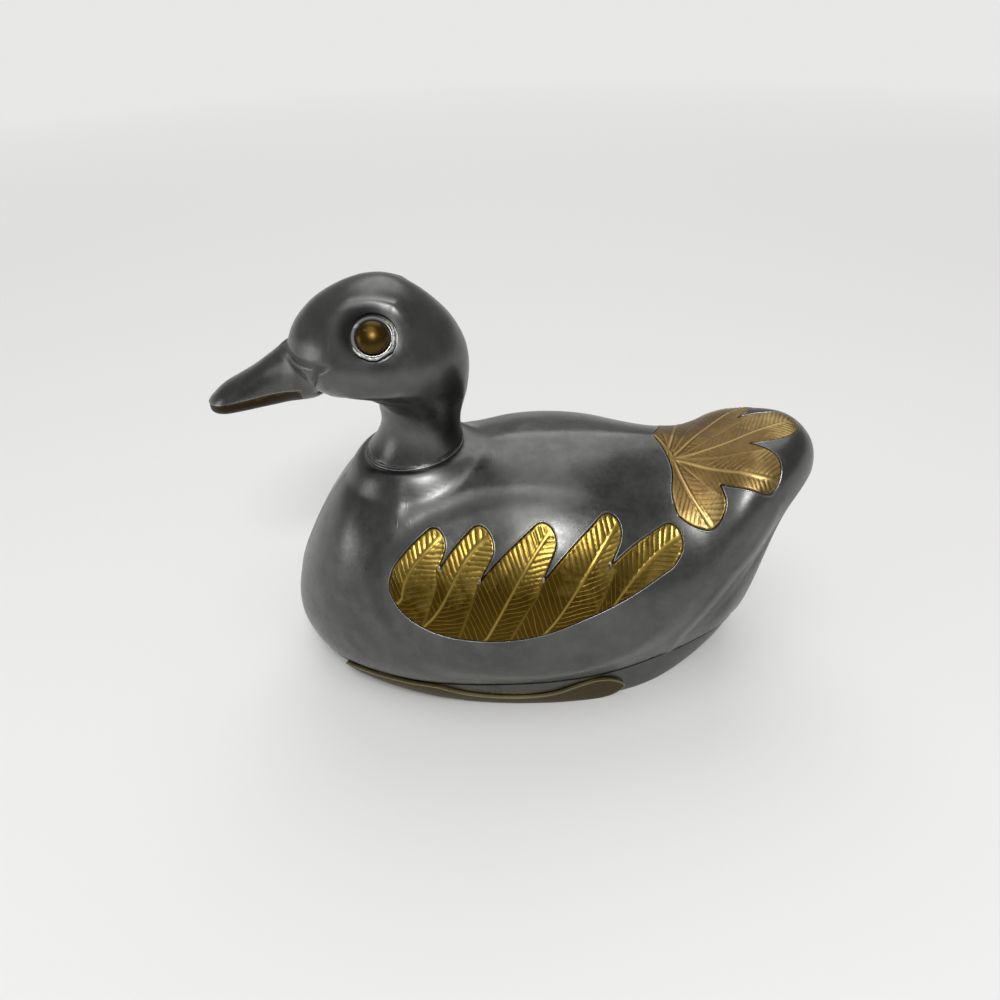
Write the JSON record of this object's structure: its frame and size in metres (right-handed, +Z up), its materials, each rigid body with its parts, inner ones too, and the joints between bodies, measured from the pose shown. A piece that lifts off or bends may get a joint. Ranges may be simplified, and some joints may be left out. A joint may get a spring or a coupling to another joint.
{
  "type": "duck trinket box",
  "caption": "Duck-shaped keepsake box in cast pewter with engraved brass feather inlays; the hollow back lifts off a shallow flat-bottomed hull.",
  "frame": {"origin": "on the surface the box stands on, under the middle of its length and width", "axes": "+Z is up; the duck faces -X with its tail to +X; Y = 0 is its mirror plane, and the left flank faces -Y"},
  "size_m": [0.1387, 0.0732, 0.0993],
  "materials": {
    "pewter": null,
    "brass": "engraved brass with a worn antique patina",
    "dark_brass": "dark, unpolished brass"
  },
  "bodies": {
    "base": {"base_hull": "pewter", "belly_inlay_left": "brass", "belly_inlay_right": "brass"},
    "lid": {"lid_shell": "pewter", "wing_inlay_left": "brass", "wing_inlay_right": "brass", "tail_inlay": "brass", "head_casting": "pewter", "bill_lower": "dark_brass", "eye_left": "brass", "eye_right": "brass", "eye_bezel_left": "pewter", "eye_bezel_right": "pewter"}
  },
  "joints": [
    {"name": "lid_lift", "type": "slide", "parent": "base", "child": "lid", "axis": [0, 0, 1], "range_m": [0, 0.06]}
  ]
}
